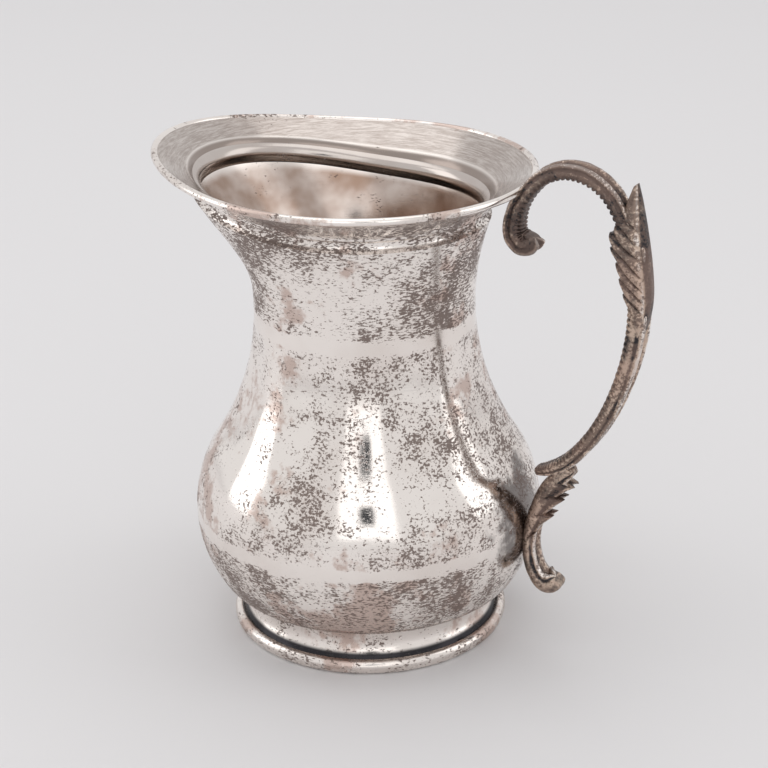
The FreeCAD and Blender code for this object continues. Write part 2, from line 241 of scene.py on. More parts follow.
def lobed(s, radius, height, turn):
    """Point of the belly's wall between the lobes and their valleys."""
    low = band_ring()[1]
    high = neck_seam()
    fade = ease((height - low - 1 * MM) / (15 * MM)) * ease((high - 1.2 * MM - height) / (3 * MM))
    valley = (0.5 + 0.5 * math.cos(s.lobe_count * turn)) ** 1.5
    wide = radius - s.lobe_depth * fade * valley
    return Vector((wide * math.cos(turn), wide * math.sin(turn), height))


# ---------------------------------------------------------------- mesh helpers
def finished(name, bm, nodes, material, crease=38.0):
    """Object from a bmesh, smooth but for its sharp corners, riding on the jug's body."""
    mesh = bpy.data.meshes.new(name)
    bm.to_mesh(mesh)
    bm.free()
    mesh.shade_smooth()
    mesh.set_sharp_from_angle(angle=math.radians(crease))
    mesh.materials.append(material)
    piece = bpy.data.objects.new(name, mesh)
    bpy.context.scene.collection.objects.link(piece)
    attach(piece, "root")
    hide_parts(*nodes)
    return piece


def spun(outline, steps, place):
    """Bmesh of a closed outline turned about Z.

    Each outline point is (radius, height, stage, inside), and place(radius, height, stage, turn)
    gives the final point.
    """
    bm = bmesh.new()
    stage_layer = bm.verts.layers.float.new("stage")
    inside_layer = bm.verts.layers.float.new("inside")
    ring = []
    for radius, height, stage, inside in outline:
        vert = bm.verts.new((radius, 0, height))
        vert[stage_layer] = stage
        vert[inside_layer] = inside
        ring.append(vert)
    pairs = list(zip(ring, ring[1:])) + [(ring[-1], ring[0])]
    edges = [bm.edges.new(pair) for pair in pairs if max(pair[0].co.x, pair[1].co.x) > 1e-9]
    bmesh.ops.spin(
        bm, geom=ring + edges, cent=(0, 0, 0), axis=(0, 0, 1), angle=FULL, steps=steps,
        use_merge=True
    )
    bmesh.ops.remove_doubles(bm, verts=bm.verts, dist=1e-6)
    bmesh.ops.recalc_face_normals(bm, faces=bm.faces)
    for vert in bm.verts:
        turn = math.atan2(vert.co.y, vert.co.x)
        vert.co = place(math.hypot(vert.co.x, vert.co.y), vert.co.z, vert[stage_layer], turn)
    return bm


def plain(radius, height, _stage, turn):
    """Point of a piece that stays round."""
    return Vector((radius * math.cos(turn), radius * math.sin(turn), height))


def walled(outer, inner):
    """Closed outline up the outside and down the inside."""
    return [(*point, 0.0) for point in outer] + [(*point, 1.0) for point in reversed(inner)]


def smooth_path(points, share):
    """Value at a share of the way along a list of equal-length tuples (Catmull-Rom)."""
    spans = len(points) - 1
    place = min(max(share, 0.0), 1.0) * spans
    index = min(int(place), spans - 1)
    t = place - index
    p0 = points[max(index - 1, 0)]
    p1 = points[index]
    p2 = points[index + 1]
    p3 = points[min(index + 2, spans)]
    out = []
    for a, b, c, d in zip(p0, p1, p2, p3):
        out.append(0.5 * (2 * b + (c - a) * t + (2 * a - 5 * b + 4 * c - d) * t * t
                          + (3 * b - a - 3 * c + d) * t ** 3))
    return out


def handle_point(s, out, up, share):
    """Point of the handle's plane: share 1 is the rim's solder point and 0 the belly's."""
    radius, band = band_ring()
    rim = Vector((s.rim_radius + s.rim_wire, 0, s.rim_height))
    belly = Vector((radius, 0, band))
    return belly.lerp(rim, share) + Vector((out, 0, up)) * MM


def bar_frame(stations, share):
    """Centre, outward direction, half depth and half width at a share of a bar's length."""
    x, z, depth, width = smooth_path(stations, share)
    before = smooth_path(stations, share - 0.004)
    after = smooth_path(stations, share + 0.004)
    run = Vector((after[0] - before[0], 0, after[1] - before[1])).normalized()
    return Vector((x, 0, z)), run, depth / 2, width / 2


def bar_length(stations):
    """Length of a bar's centre line."""
    steps = 60
    points = [Vector(smooth_path(stations, step / steps)[:2]) for step in range(steps + 1)]
    return sum((b - a).length for a, b in zip(points, points[1:]))


def tube(along, around, place):
    """Bmesh tube from a grid: place(share along, share round) gives the point and its wear."""
    bm = bmesh.new()
    wear_layer = bm.verts.layers.float.new("wear")
    bmesh.ops.create_grid(bm, x_segments=along, y_segments=around, size=0.5)
    for vert in bm.verts:
        vert.co, vert[wear_layer] = place(vert.co.x + 0.5, vert.co.y + 0.5)
    bmesh.ops.remove_doubles(bm, verts=bm.verts, dist=2e-6)
    open_edges = [edge for edge in bm.edges if edge.is_boundary]
    if open_edges:
        bmesh.ops.holes_fill(bm, edges=open_edges, sides=0)
    bmesh.ops.recalc_face_normals(bm, faces=bm.faces)
    return bm


# Half of the casting's section, from the middle of its back to the middle of its inner side:
# (across, out, wear), with both measured in half widths and half depths.
CAST_SECTION = [
    (0.0, 0.55, 0.10),
    (0.28, 0.72, 0.35),
    (0.55, 1.0, 1.0),
    (0.88, 0.84, 1.0),
    (0.84, 0.40, 0.0),
    (0.98, 0.05, 0.50),
    (0.94, -0.45, 0.30),
    (0.76, -0.86, 0.35),
    (0.36, -1.0, 0.30),
    (0.0, -0.96, 0.2),
]


def section_point(share, half):
    """Point and wear of the mirrored section at a share of the way round."""
    if share <= 0.5:
        return smooth_path(half, share * 2)
    across, out, wear = smooth_path(half, (1 - share) * 2)
    return -across, out, wear


def rounded_end(share, start, end):
    """1 along a bar, falling to 0 as a ball's outline over its end lengths."""
    lead = min(share / start, 1.0) if start > 0 else 1.0
    tail = min((1 - share) / end, 1.0) if end > 0 else 1.0
    return math.sqrt(max(1 - (1 - lead) ** 2, 0)) * math.sqrt(max(1 - (1 - tail) ** 2, 0))


def cast_bar(stations, along, around, ends, ribs, slant=0.0, teeth=None):
    """Bmesh of a cast bar with a moulded section and nicks along its inner side.

    Teeth are (first share, last share, count, lift): leaf points along the bar's outer side.
    """
    stretch = bar_length(stations)

    def place(share, turn):
        centre, run, depth, width = bar_frame(stations, share)
        outward = Vector((-run.z, 0, run.x))
        across, out, wear = section_point(turn, CAST_SECTION)
        swell = max(rounded_end(share, *ends), 0.002)
        cut = 0.0
        if ribs > 0:
            inner = ease((-out - 0.35) / 0.4)
            wave = 0.5 + 0.5 * math.cos(FULL * (share * stretch / ribs + slant * across))
            cut = inner * wave ** 2
        point = centre + outward * (out * depth * swell * (1 - 0.17 * cut))
        point.y += across * width * swell * (1 - 0.16 * cut)
        if teeth:
            first, last, count, lift = teeth
            rise = (share - first) / (last - first) * count + 0.35 * (out - 1)
            if 0 <= rise < count:
                saw = rise - math.floor(rise)
                spread = ease(out + 0.2) * (1 - saw) ** 1.3
                point += (outward - run * 0.55) * (lift * spread)
                cut = max(cut, math.exp(-(min(saw, 1 - saw) / 0.14) ** 2) * ease(out + 0.6))
                point.y *= 1 - 0.22 * cut
        grain = noise.noise(point * 900) * 0.06 * MM
        return point + outward * grain * swell, max(wear * (1 - 0.9 * cut), 0.0)

    return tube(along, around, place)


# ---------------------------------------------------------------- materials
def give(tree, socket, value):
    """Links an output to a socket, or sets the socket's own value."""
    if isinstance(value, bpy.types.NodeSocket):
        tree.links.new(value, socket)
    elif socket.type == "RGBA":
        socket.default_value = (*value[:3], 1.0)
    else:
        socket.default_value = value


def put(tree, kind, settings=None, **inputs):
    """New shader node: its settings, and its inputs by name, each a value or an output to link."""
    made = tree.nodes.new(kind)
    for key, value in (settings or {}).items():
        setattr(made, key, value)
    for key, value in inputs.items():
        wanted = key.replace("_", " ")
        socket = next(
            found for found in made.inputs
            if found.enabled and wanted.lower() in (found.name.lower(), found.identifier.lower())
        )
        give(tree, socket, value)
    return made


def maths(tree, operation, first, second=0.0):
    """Output of a Math node."""
    made = tree.nodes.new("ShaderNodeMath")
    made.operation = operation
    give(tree, made.inputs[0], first)
    give(tree, made.inputs[1], second)
    return made.outputs[0]


def times(tree, first, second):
    """Product of two values."""
    return maths(tree, "MULTIPLY", first, second)


def plus(tree, first, *rest):
    """Sum of values."""
    total = first
    for value in rest:
        total = maths(tree, "ADD", total, value)
    return total


def fade(tree, value, low, high, start=0.0, end=1.0):
    """Smooth change from start to end while value goes from low to high."""
    made = put(
        tree, "ShaderNodeMapRange", {"interpolation_type": "SMOOTHSTEP"},
        Value=value, From_Min=low, From_Max=high, To_Min=start, To_Max=end
    )
    return made.outputs["Result"]


def blend(tree, factor, first, second):
    """Colour mixed from first to second by factor."""
    made = tree.nodes.new("ShaderNodeMix")
    made.data_type = "RGBA"
    sockets = (made.inputs["Factor"], made.inputs[6], made.inputs[7])
    for socket, value in zip(sockets, (factor, first, second)):
        give(tree, socket, value)
    return made.outputs[2]


def grain(tree, vector, scale, detail=3.0, rough=0.6, stretch=(1, 1, 1), offset=(0, 0, 0)):
    """Value of a noise in metres, stretched and moved."""
    moved = put(
        tree, "ShaderNodeMapping", Vector=vector, Location=offset, Scale=stretch
    ).outputs[0]
    made = put(
        tree, "ShaderNodeTexNoise", Vector=moved, Scale=scale, Detail=detail, Roughness=rough
    )
    return made.outputs[0]


def arranged(tree):
    """Lays a tree's nodes out in columns from left to right."""
    column = {}
    for link in list(tree.links) * 12:
        start = column.setdefault(link.from_node.name, 0)
        column[link.to_node.name] = max(column.get(link.to_node.name, 0), start + 1)
    rows = {}
    for made in tree.nodes:
        place = column.get(made.name, 0)
        made.location = (place * 220, -rows.get(place, 0) * 260)
        rows[place] = rows.get(place, 0) + 1


def tarnish_group():
    """Pits, stains and haze that sulphide leaves on silver sheet."""
    if "Tarnish" in bpy.data.node_groups:
        return bpy.data.node_groups["Tarnish"]
    tree = bpy.data.node_groups.new("Tarnish", "ShaderNodeTree")
    face = tree.interface
    face.new_socket("Vector", in_out="INPUT", socket_type="NodeSocketVector")
    for name, value in (("Amount", 0.5), ("Streaks", 0.5), ("Stains", 0.5), ("Clean", 0.0)):
        face.new_socket(name, in_out="INPUT", socket_type="NodeSocketFloat").default_value = value
    for name in ("Pits", "Stain", "Haze", "Height"):
        face.new_socket(name, in_out="OUTPUT", socket_type="NodeSocketFloat")
    given = tree.nodes.new("NodeGroupInput").outputs
    out = tree.nodes.new("NodeGroupOutput")
    vector = given["Vector"]
    patches = grain(tree, vector, 55, 3, 0.55, offset=(0.31, 0.12, 0.05))
    clusters = grain(tree, vector, 260, 3, 0.6, offset=(0.7, 0.2, 0.4))
    dots = grain(tree, vector, 1900, 3, 0.66)
    dashes = grain(tree, vector, 1300, 3, 0.66, stretch=(0.9, 0.9, 2.4), offset=(0.2, 0.5, 0.1))
    round_share = maths(tree, "SUBTRACT", 1.0, given["Streaks"])
    specks = plus(
        tree, times(tree, dots, round_share), times(tree, dashes, given["Streaks"])
    )
    cover = plus(
        tree, times(tree, patches, 0.42), times(tree, clusters, 0.36),
        times(tree, given["Amount"], 0.16)
    )
    cover = maths(tree, "SUBTRACT", cover, times(tree, given["Clean"], 0.17))
    value = maths(tree, "ADD", specks, cover)
    pits = fade(tree, value, 1.0, 1.06)
    broad = grain(tree, vector, 75, 4, 0.6, offset=(0.11, 0.57, 0.33))
    edged = grain(tree, vector, 700, 3, 0.65, offset=(0.4, 0.1, 0.9))
    stained = maths(tree, "ADD", broad, times(tree, edged, 0.22))
    stained = maths(tree, "ADD", stained, times(tree, given["Stains"], 0.12))
    stained = maths(tree, "SUBTRACT", stained, times(tree, given["Clean"], 0.15))
    stain = fade(tree, stained, 0.70, 0.79)
    haze = fade(tree, patches, 0.35, 0.7)
    height = times(tree, pits, -1.0)
    for name, socket in (("Pits", pits), ("Stain", stain), ("Haze", haze), ("Height", height)):
        tree.links.new(socket, out.inputs[name])
    arranged(tree)
    return tree


def new_material(name):
    """Empty material, with its Principled shader, tree and Object coordinates."""
    material = bpy.data.materials.new(name)
    material.use_nodes = True
    tree = material.node_tree
    shader = tree.nodes["Principled BSDF"]
    coordinates = tree.nodes.new("ShaderNodeTexCoord").outputs["Object"]
    return material, tree, shader, coordinates


def bands(tree, height, levels):
    """1 near each level of (height, half width), 0 away from them."""
    total = None
    for level, half in levels:
        gap = maths(tree, "ABSOLUTE", maths(tree, "SUBTRACT", height, level))
        near = fade(tree, gap, half * 0.4, half * 1.4, 1.0, 0.0)
        total = near if total is None else maths(tree, "MAXIMUM", total, near)
    return total


def slate_patch(tree, vector, place, reach):
    """1 near a solder point, breaking up towards its reach."""
    gap = put(
        tree, "ShaderNodeVectorMath", {"operation": "DISTANCE"}, Vector=vector
    )
    gap.inputs[1].default_value = place
    ragged = maths(tree, "SUBTRACT", grain(tree, vector, 170, 4, 0.65, offset=(0.8, 0.8, 0.1)), 0.5)
    spread = maths(tree, "ADD", gap.outputs["Value"], times(tree, ragged, reach * 2.2))
    return fade(tree, spread, reach * 0.45, reach, 1.0, 0.0)


def silver_sheet(name, amount, streaks, stains, clean=(), warm=0.0, rough=0.17, grime=(),
                 slate=None):
    """Raised silver sheet: bright, pitted with sulphide, stained and a little hazy."""
    found = bpy.data.materials.get(name)
    if found:
        return found
    tint = looks()
    material, tree, shader, vector = new_material(name)
    height = put(tree, "ShaderNodeSeparateXYZ", Vector=vector).outputs["Z"]
    wander = grain(tree, vector, 160, 2, offset=(0.3, 0.3, 0.3))
    waver = times(tree, maths(tree, "SUBTRACT", wander, 0.5), 2.5 * MM)
    level = plus(tree, height, waver)
    inside = put(tree, "ShaderNodeAttribute", {"attribute_name": "inside"}).outputs["Fac"]
    kept = times(tree, inside, 1.1)
    if clean:
        kept = maths(tree, "ADD", kept, bands(tree, level, clean))
    tarnish = put(
        tree, "ShaderNodeGroup", {"node_tree": tarnish_group()},
        Vector=vector, Amount=amount, Streaks=streaks, Stains=stains,
        Clean=kept,
    ).outputs
    sheet = blend(tree, times(tree, tarnish["Haze"], 0.55), tint.silver, (0.72, 0.64, 0.59))
    sheet = blend(tree, times(tree, tarnish["Stain"], 0.62), sheet, tint.stain)
    if warm > 0:
        stage = put(tree, "ShaderNodeAttribute", {"attribute_name": "stage"}).outputs["Fac"]
        from_channel = maths(tree, "ABSOLUTE", maths(tree, "SUBTRACT", stage, 1.10))
        channel = fade(tree, from_channel, 0.05, 0.16, 1.0, 0.0)
        rings = grain(tree, vector, 260, 4, 0.8, stretch=(1, 1, 22), offset=(0.1, 0.6, 0.4))
        lip = times(tree, fade(tree, stage, 1.2, 1.3), fade(tree, rings, 0.36, 0.62, 0.45, 0.80))
        worked = maths(tree, "MAXIMUM", times(tree, channel, 0.92), lip)
        sheet = blend(tree, times(tree, worked, inside), sheet, tint.slate_lip)
        blotch = fade(tree, grain(tree, vector, 90, 3, offset=(0.9, 0.1, 0.2)), 0.3, 0.7, 0.45, 1.0)
        deep = fade(tree, stage, 0.86, 0.97, 1.0, 0.0)
        tone = times(tree, times(tree, inside, blotch), deep)
        tone = times(tree, tone, warm)
        sheet = blend(tree, tone, sheet, tint.warm)
    if slate:
        patch = slate_patch(tree, vector, *slate)
        sheet = blend(tree, times(tree, patch, 0.85), sheet, tint.slate)
    sheet = blend(tree, times(tree, tarnish["Pits"], 0.92), sheet, tint.pits)
    if grime:
        sheet = blend(tree, bands(tree, height, grime), sheet, tint.oxide)
    tree.links.new(sheet, shader.inputs["Base Color"])
    metal = maths(tree, "SUBTRACT", 1.0, times(tree, tarnish["Pits"], 0.75))
    tree.links.new(metal, shader.inputs["Metallic"])
    dull = maths(tree, "ADD", times(tree, tarnish["Pits"], 0.35), rough)
    dull = maths(tree, "ADD", dull, times(tree, tarnish["Stain"], 0.12))
    dull = maths(tree, "ADD", dull, times(tree, tarnish["Haze"], 0.06))
    dull = maths(tree, "ADD", dull, times(tree, inside, 0.03))
    tree.links.new(dull, shader.inputs["Roughness"])
    scratches = grain(tree, vector, 300, 4, 0.75, stretch=(1, 1, 9), offset=(0.6, 0.3, 0.2))
    hammered = grain(tree, vector, 110, 2, 0.5, offset=(0.2, 0.9, 0.5))
    relief = maths(tree, "ADD", times(tree, scratches, 0.10), times(tree, hammered, 0.9))
    relief = maths(tree, "ADD", relief, times(tree, tarnish["Height"], 0.16))
    bump = put(tree, "ShaderNodeBump", Strength=0.35, Distance=0.0003, Height=relief)
    tree.links.new(bump.outputs[0], shader.inputs["Normal"])
    arranged(tree)
    return material


def cast_silver(name, bright):
    """Cast silver: dark oxide in its recesses, tan and worn on its high parts."""
    found = bpy.data.materials.get(name)
    if found:
        return found
    tint = looks()
    material, tree, shader, vector = new_material(name)
    wear = put(tree, "ShaderNodeAttribute", {"attribute_name": "wear"}).outputs["Fac"]
    broad = grain(tree, vector, 230, 4, 0.6, offset=(0.2, 0.7, 0.1))
    fine = grain(tree, vector, 1500, 3, 0.65, offset=(0.5, 0.2, 0.8))
    tarnish = put(
        tree, "ShaderNodeGroup", {"node_tree": tarnish_group()},
        Vector=vector, Amount=1.0, Streaks=0.2, Stains=0.9
    ).outputs
    high = maths(tree, "ADD", wear, times(tree, maths(tree, "SUBTRACT", broad, 0.5), 1.1))
    high = maths(tree, "ADD", high, times(tree, maths(tree, "SUBTRACT", fine, 0.5), 0.7))
    worn = fade(tree, high, 0.30 - 0.32 * bright, 0.85 - 0.35 * bright)
    bare = blend(tree, fade(tree, high, 0.70, 1.15, 0.0, 0.85), tint.worn, tint.silver)
    metal = blend(tree, worn, tint.oxide, bare)
    metal = blend(tree, times(tree, tarnish["Stain"], 0.35), metal, tint.stain)
    metal = blend(tree, times(tree, tarnish["Pits"], 0.75), metal, tint.pits)
    tree.links.new(metal, shader.inputs["Base Color"])
    tree.links.new(fade(tree, worn, 0.0, 1.0, 0.75, 1.0), shader.inputs["Metallic"])
    dull = fade(tree, worn, 0.0, 1.0, 0.42, 0.42 - 0.16 * bright)
    tree.links.new(dull, shader.inputs["Roughness"])
    relief = maths(tree, "ADD", times(tree, fine, 0.5), times(tree, broad, 0.8))
    relief = maths(tree, "ADD", relief, times(tree, tarnish["Height"], 0.4))
    bump = put(tree, "ShaderNodeBump", Strength=0.55, Distance=0.0003, Height=relief)
    tree.links.new(bump.outputs[0], shader.inputs["Normal"])
    arranged(tree)
    return material


# ---------------------------------------------------------------- pieces
class JUG_OT_neck(bpy.types.Operator):
    """Add the neck section, with its rolled groove and its lip drawn into the spout"""

    bl_idname = "jug.neck"
    bl_label = "Neck Section"

    def execute(self, context):
        s = sizes()
        outer = neck_outline(s)
        seam = neck_seam()
        bm = spun(
            walled(outer, inward(outer, s.wall)), 240,
            lambda radius, height, stage, turn: drawn(s, radius, height, stage, turn)
        )
        sheet = silver_sheet(
            "Neck Silver", 0.80, 0.8, 0.35, clean=((seam, 1.3 * MM),), warm=0.9, rough=0.14
        )
        finished("neck_sheet", bm, ["neck_section"], sheet)
        return {"FINISHED"}


class JUG_OT_belly(bpy.types.Operator):
    """Add the belly section with its eight soft lobes"""

    bl_idname = "jug.belly"
    bl_label = "Belly Section"

    def execute(self, context):
        s = sizes()
        low = band_ring()[1]
        high = neck_seam()
        outer = []
        for step in range(91):
            height = low + (high - low) * step / 90
            outer.append((wall_radius(s, height), height, 0.0))
        bm = spun(
            walled(outer, inward(outer, s.wall)), 256,
            lambda radius, height, stage, turn: lobed(s, radius, height, turn)
        )
        sheet = silver_sheet(
            "Belly Silver", 0.60, 0.4, 0.5, clean=((high, 1.3 * MM), (low, 1.2 * MM)),
            rough=0.10, slate=(handle_point(s, 0, 3, 0), 12.5 * MM)
        )
        finished("belly_sheet", bm, ["belly_section"], sheet)
        return {"FINISHED"}


class JUG_OT_base(bpy.types.Operator):
    """Add the bowl that closes the jug below the lower band"""

    bl_idname = "jug.base"
    bl_label = "Base Section"

    def execute(self, context):
        s = sizes()
        low = band_ring()[1]
        bm = spun(walled(bowl_outline(s, 0.0), bowl_outline(s, s.wall)), 240, plain)
        sheet = silver_sheet(
            "Bowl Silver", 0.78, 0.8, 0.6, clean=((low, 1.2 * MM),), rough=0.14,
            slate=(handle_point(s, 0, 3, 0), 12.5 * MM)
        )
        finished("base_sheet", bm, ["base_section"], sheet)
        return {"FINISHED"}


class JUG_OT_rim(bpy.types.Operator):
    """Add the wire along the edge of the lip"""

    bl_idname = "jug.rim"
    bl_label = "Rim Wire"

    def execute(self, context):
        s = sizes()
        outer = neck_outline(s)
        inner = inward(outer, s.wall)
        edge = Vector((outer[-1][0], outer[-1][1]))
        lined = Vector((inner[-1][0], inner[-1][1]))
        run = (edge - Vector((outer[-2][0], outer[-2][1]))).normalized()
        across = (lined - edge).normalized()
        centre = (edge + lined) / 2 + run * math.sqrt(s.rim_wire ** 2 - (s.wall / 2) ** 2)
        opening = math.pi - math.asin(s.wall / 2 / s.rim_wire)
        outline = []
        for step in range(23):
            angle = opening * (step / 11 - 1)
            point = centre + (run * math.cos(angle) + across * math.sin(angle)) * s.rim_wire
            outline.append((point.x, point.y, 2.0, 0.0))
        bm = spun(
            outline, 240,
            lambda radius, height, stage, turn: drawn(s, radius, height, stage, turn)
        )
        wire = silver_sheet("Rim Silver", 0.25, 0.5, 0.35, rough=0.15)
        finished("rim_bead", bm, ["rim_wire"], wire)
        return {"FINISHED"}


class JUG_OT_foot(bpy.types.Operator):
    """Add the spreading collet and the heavy foot wire"""

    bl_idname = "jug.foot"
    bl_label = "Foot"

    def execute(self, context):
        s = sizes()
        collet = BOXES["foot_collet"]
        wire = BOXES["foot_wire"]
        seat = collet[0].z
        top = collet[1].z
        base = collet[1].x
        outer = []
        for step in range(21):
            share = step / 20
            bow = 1 - (2 * share - 1) ** 2
            flare = 1.1 * MM * (1 - share) ** 6
            outer.append((
                base + (s.collet_top - base) * share - 0.8 * MM * bow * (1 - 0.3 * share)
                - 0.2 * MM * bow + 0.2 * flare, seat + (top - seat) * share, 0.0
            ))
        bm = spun(walled(outer, inward(outer, s.wall)), 240, plain)
        sheet = silver_sheet(
            "Collet Silver", 0.2, 0.6, 0.3, rough=0.12,
            grime=((seat + 0.55 * MM, 0.75 * MM), (top, 0.3 * MM))
        )
        finished("collet_sheet", bm, ["foot_collet"], sheet)

        reach = wire[1].x
        thick = wire[1].z
        shoulder = reach - 0.42 * thick
        inside = s.foot_inner
        outline = [(inside, 0.15 * MM), (inside + 0.15 * MM, 0.0), (shoulder, 0.0)]
        for step in range(1, 16):
            lean = math.radians(-90 + 180 * step / 16)
            outline.append((
                shoulder + 0.42 * thick * math.cos(lean), thick / 2 * (1 + math.sin(lean))
            ))
        outline += [
            (shoulder, thick), (base + 0.55 * MM, thick), (base + 0.1 * MM, thick - 0.35 * MM),
            (base, seat), (inside, seat),
        ]
        bm = spun([(radius, height, 0.0, 0.0) for radius, height in outline], 240, plain)
        foot = silver_sheet("Foot Silver", 0.35, 0.6, 0.7, rough=0.15)
        finished("foot_bead", bm, ["foot_wire"], foot)
        return {"FINISHED"}


def stations(s, rows, depth):
    """Bar stations (x, z, depth, width) in metres from rows (out, up, share, depth, width)."""
    made = []
    for out, up, share, thick, wide in rows:
        point = handle_point(s, out, up, share)
        made.append((point.x, point.z, thick * depth, wide * s.handle_width))
    return made


class JUG_OT_upper_scroll(bpy.types.Operator):
    """Add the cast scroll that rises from the lip over the hand"""

    bl_idname = "jug.upper_scroll"
    bl_label = "Upper Scroll"

    def execute(self, context):
        s = sizes()
        path = stations(s, [
            (1.7, -8.7, 1, 1.15, 0.95), (1.0, -9.6, 1, 1.4, 1.05), (-0.4, -9.9, 1, 1.35, 1.05),
            (-1.8, -8.4, 1, 1.28, 1.0), (-1.9, -5.9, 1, 1.22, 1.0), (-1.1, -2.9, 1, 1.1, 1.0),
            (0.9, 0.2, 1, 1.0, 1.0), (3.5, 2.8, 1, 0.98, 1.0), (7.0, 4.25, 1, 1.02, 1.0),
            (10.6, 4.15, 1, 1.04, 1.0), (13.9, 2.7, 1, 1.04, 1.0), (16.5, 0.2, 1, 1.04, 1.0),
            (18.4, -3.2, 1, 1.0, 1.0), (19.6, -6.2, 1, 0.8, 0.9),
        ], s.scroll_depth)
        bm = cast_bar(path, 330, 56, (0.03, 0.03), 0.95 * MM, slant=0.35)
        finished(
            "upper_scroll_cast", bm, ["upper_scroll"],
            cast_silver("Scroll Silver", 0.15), crease=60
        )
        return {"FINISHED"}


class JUG_OT_bow(bpy.types.Operator):
    """Add the long bow of the handle, with its end curled towards the belly"""

    bl_idname = "jug.bow"
    bl_label = "Handle Bow"

    def execute(self, context):
        s = sizes()
        reach = s.handle_reach / MM
        path = stations(s, [
            (reach - 2.0, -6.5, 0.985, 0.7, 0.9), (reach - 1.2, -8.0, 0.965, 0.88, 1.0),
            (reach - 0.5, 0, 0.88, 0.95, 1.0), (reach - 0.2, 0, 0.80, 0.97, 1.0),
            (reach, 0, 0.70, 1.0, 1.0), (reach - 0.8, 0, 0.60, 0.96, 1.0),
            (reach - 2.7, 0, 0.495, 0.9, 0.98), (reach - 5.6, 0, 0.39, 0.84, 0.96),
            (reach - 9.1, 0, 0.305, 0.78, 0.95), (reach - 13.1, 0, 0.237, 0.72, 0.95),
            (reach - 16.8, 0, 0.203, 0.56, 0.9), (reach - 19.6, 0, 0.192, 0.34, 0.7),
        ], s.bow_depth)
        bm = cast_bar(path, 420, 56, (0.03, 0.035), 0.95 * MM, slant=0.4)
        finished(
            "bow_cast", bm, ["handle_bow"], cast_silver("Bow Silver", 0.9),
            crease=60
        )
        return {"FINISHED"}


class JUG_OT_lower_scroll(bpy.types.Operator):
    """Add the lower cast scroll with its leaf and its curled foot"""

    bl_idname = "jug.lower_scroll"
    bl_label = "Lower Scroll"

    def execute(self, context):
        s = sizes()
        path = stations(s, [
            (9.4, 14.2, 0, 0.55, 0.8), (6.9, 12.4, 0, 1.1, 0.95), (4.6, 9.2, 0, 1.3, 1.0),
            (2.8, 5.4, 0, 1.15, 0.98), (1.4, 1.6, 0, 0.95, 0.95), (0.9, -2.6, 0, 0.9, 0.95),
            (1.4, -6.2, 0, 0.95, 0.98), (2.7, -9.0, 0, 1.05, 1.0), (4.2, -10.0, 0, 1.3, 1.05),
            (5.5, -9.7, 0, 1.4, 1.05), (6.1, -8.9, 0, 1.1, 0.95),
        ], s.scroll_depth)
        bm = cast_bar(path, 320, 64, (0.04, 0.045), 0.0, teeth=(0.09, 0.42, 3, 1.5 * MM))
        finished(
            "lower_scroll_cast", bm, ["lower_scroll"],
            cast_silver("Bow Silver", 0.9), crease=60
        )
        return {"FINISHED"}


class JUG_OT_leaf(bpy.types.Operator):
    """Add the acanthus leaf over the joint of scroll and bow"""

    bl_idname = "jug.leaf"
    bl_label = "Leaf Cap"

    def execute(self, context):
        s = sizes()
        back = [(20.8, 3.6), (21.6, 0.4), (22.4, -3.6), (23.2, -8.0), (23.8, -12.4), (24.1, -16.8),
                (23.7, -20.8), (22.4, -25.4)]
        front = [(20.0, 3.0), (18.7, -0.8), (17.7, -3.8), (16.6, -6.6), (18.0, -11.0),
                 (19.1, -15.4), (20.4, -19.6), (21.8, -25.0)]
        spread = [0.2, 0.5, 0.8, 0.98, 1.02, 1.0, 0.92, 0.62]
        half = [(0.0, 0.0, 0.15), (0.35, 0.02, 0.2), (0.72, 0.12, 0.3), (0.84, 0.2, 0.95),
                (0.98, 0.42, 0.5), (1.0, 0.68, 0.45), (0.9, 0.94, 0.6), (0.6, 1.0, 0.3),
                (0.0, 0.97, 0.2)]
        pitch = 2.5

        def place(share, turn):
            across, lie, wear = section_point(turn, half)
            start = smooth_path(back, share)
            end = smooth_path(front, share)
            width = smooth_path([(value,) for value in spread], share)[0]
            down = share * 28
            phase = down / pitch + 1.6 * lie + 0.35 * noise.noise(Vector((down / 4, lie, 0)))
            saw = phase - math.floor(phase)
            lower = ease((share - 0.22) / 0.06) * (1 - ease((share - 0.8) / 0.1))
            vein = math.exp(-(min(saw, 1 - saw) / 0.13) ** 2) * ease((lie - 0.12) / 0.3)
            tooth = (0.55 - saw) * 0.16 * lower * ease((lie - 0.5) / 0.4)
            reach = lie * (1 + tooth)
            out = start[0] + (end[0] - start[0]) * reach
            up = start[1] + (end[1] - start[1]) * reach
            point = handle_point(s, out, up, 1)
            side = s.handle_width / 2 * 1.24 * width * across
            point.y = side * (1 - 0.16 * vein * lower)
            rough = noise.noise(point * 1400) * 0.07 * MM
            point.y += math.copysign(rough, side) if abs(across) > 0.3 else 0.0
            return point, max(wear * (1 - 0.7 * vein * lower), 0.0)

        bm = tube(220, 72, place)
        finished(
            "leaf_cast", bm, ["leaf_cap"], cast_silver("Leaf Silver", 0.5), crease=60
        )
        return {"FINISHED"}


# ---------------------------------------------------------------- stage
def card(name, place, aim, wide, tall, material):
    """Flat card of the studio, facing its aim."""
    bm = bmesh.new()
    bmesh.ops.create_grid(bm, x_segments=1, y_segments=1, size=0.5)
    bmesh.ops.scale(bm, vec=(wide, tall, 1), verts=bm.verts)
    turn = (Vector(aim) - Vector(place)).to_track_quat("Z", "Y").to_matrix().to_4x4()
    bmesh.ops.transform(bm, matrix=Matrix.Translation(place) @ turn, verts=bm.verts)
    mesh = bpy.data.meshes.new(name)
    bm.to_mesh(mesh)
    bm.free()
    mesh.materials.append(material)
    made = bpy.data.objects.new(name, mesh)
    bpy.context.scene.collection.objects.link(made)
    return made


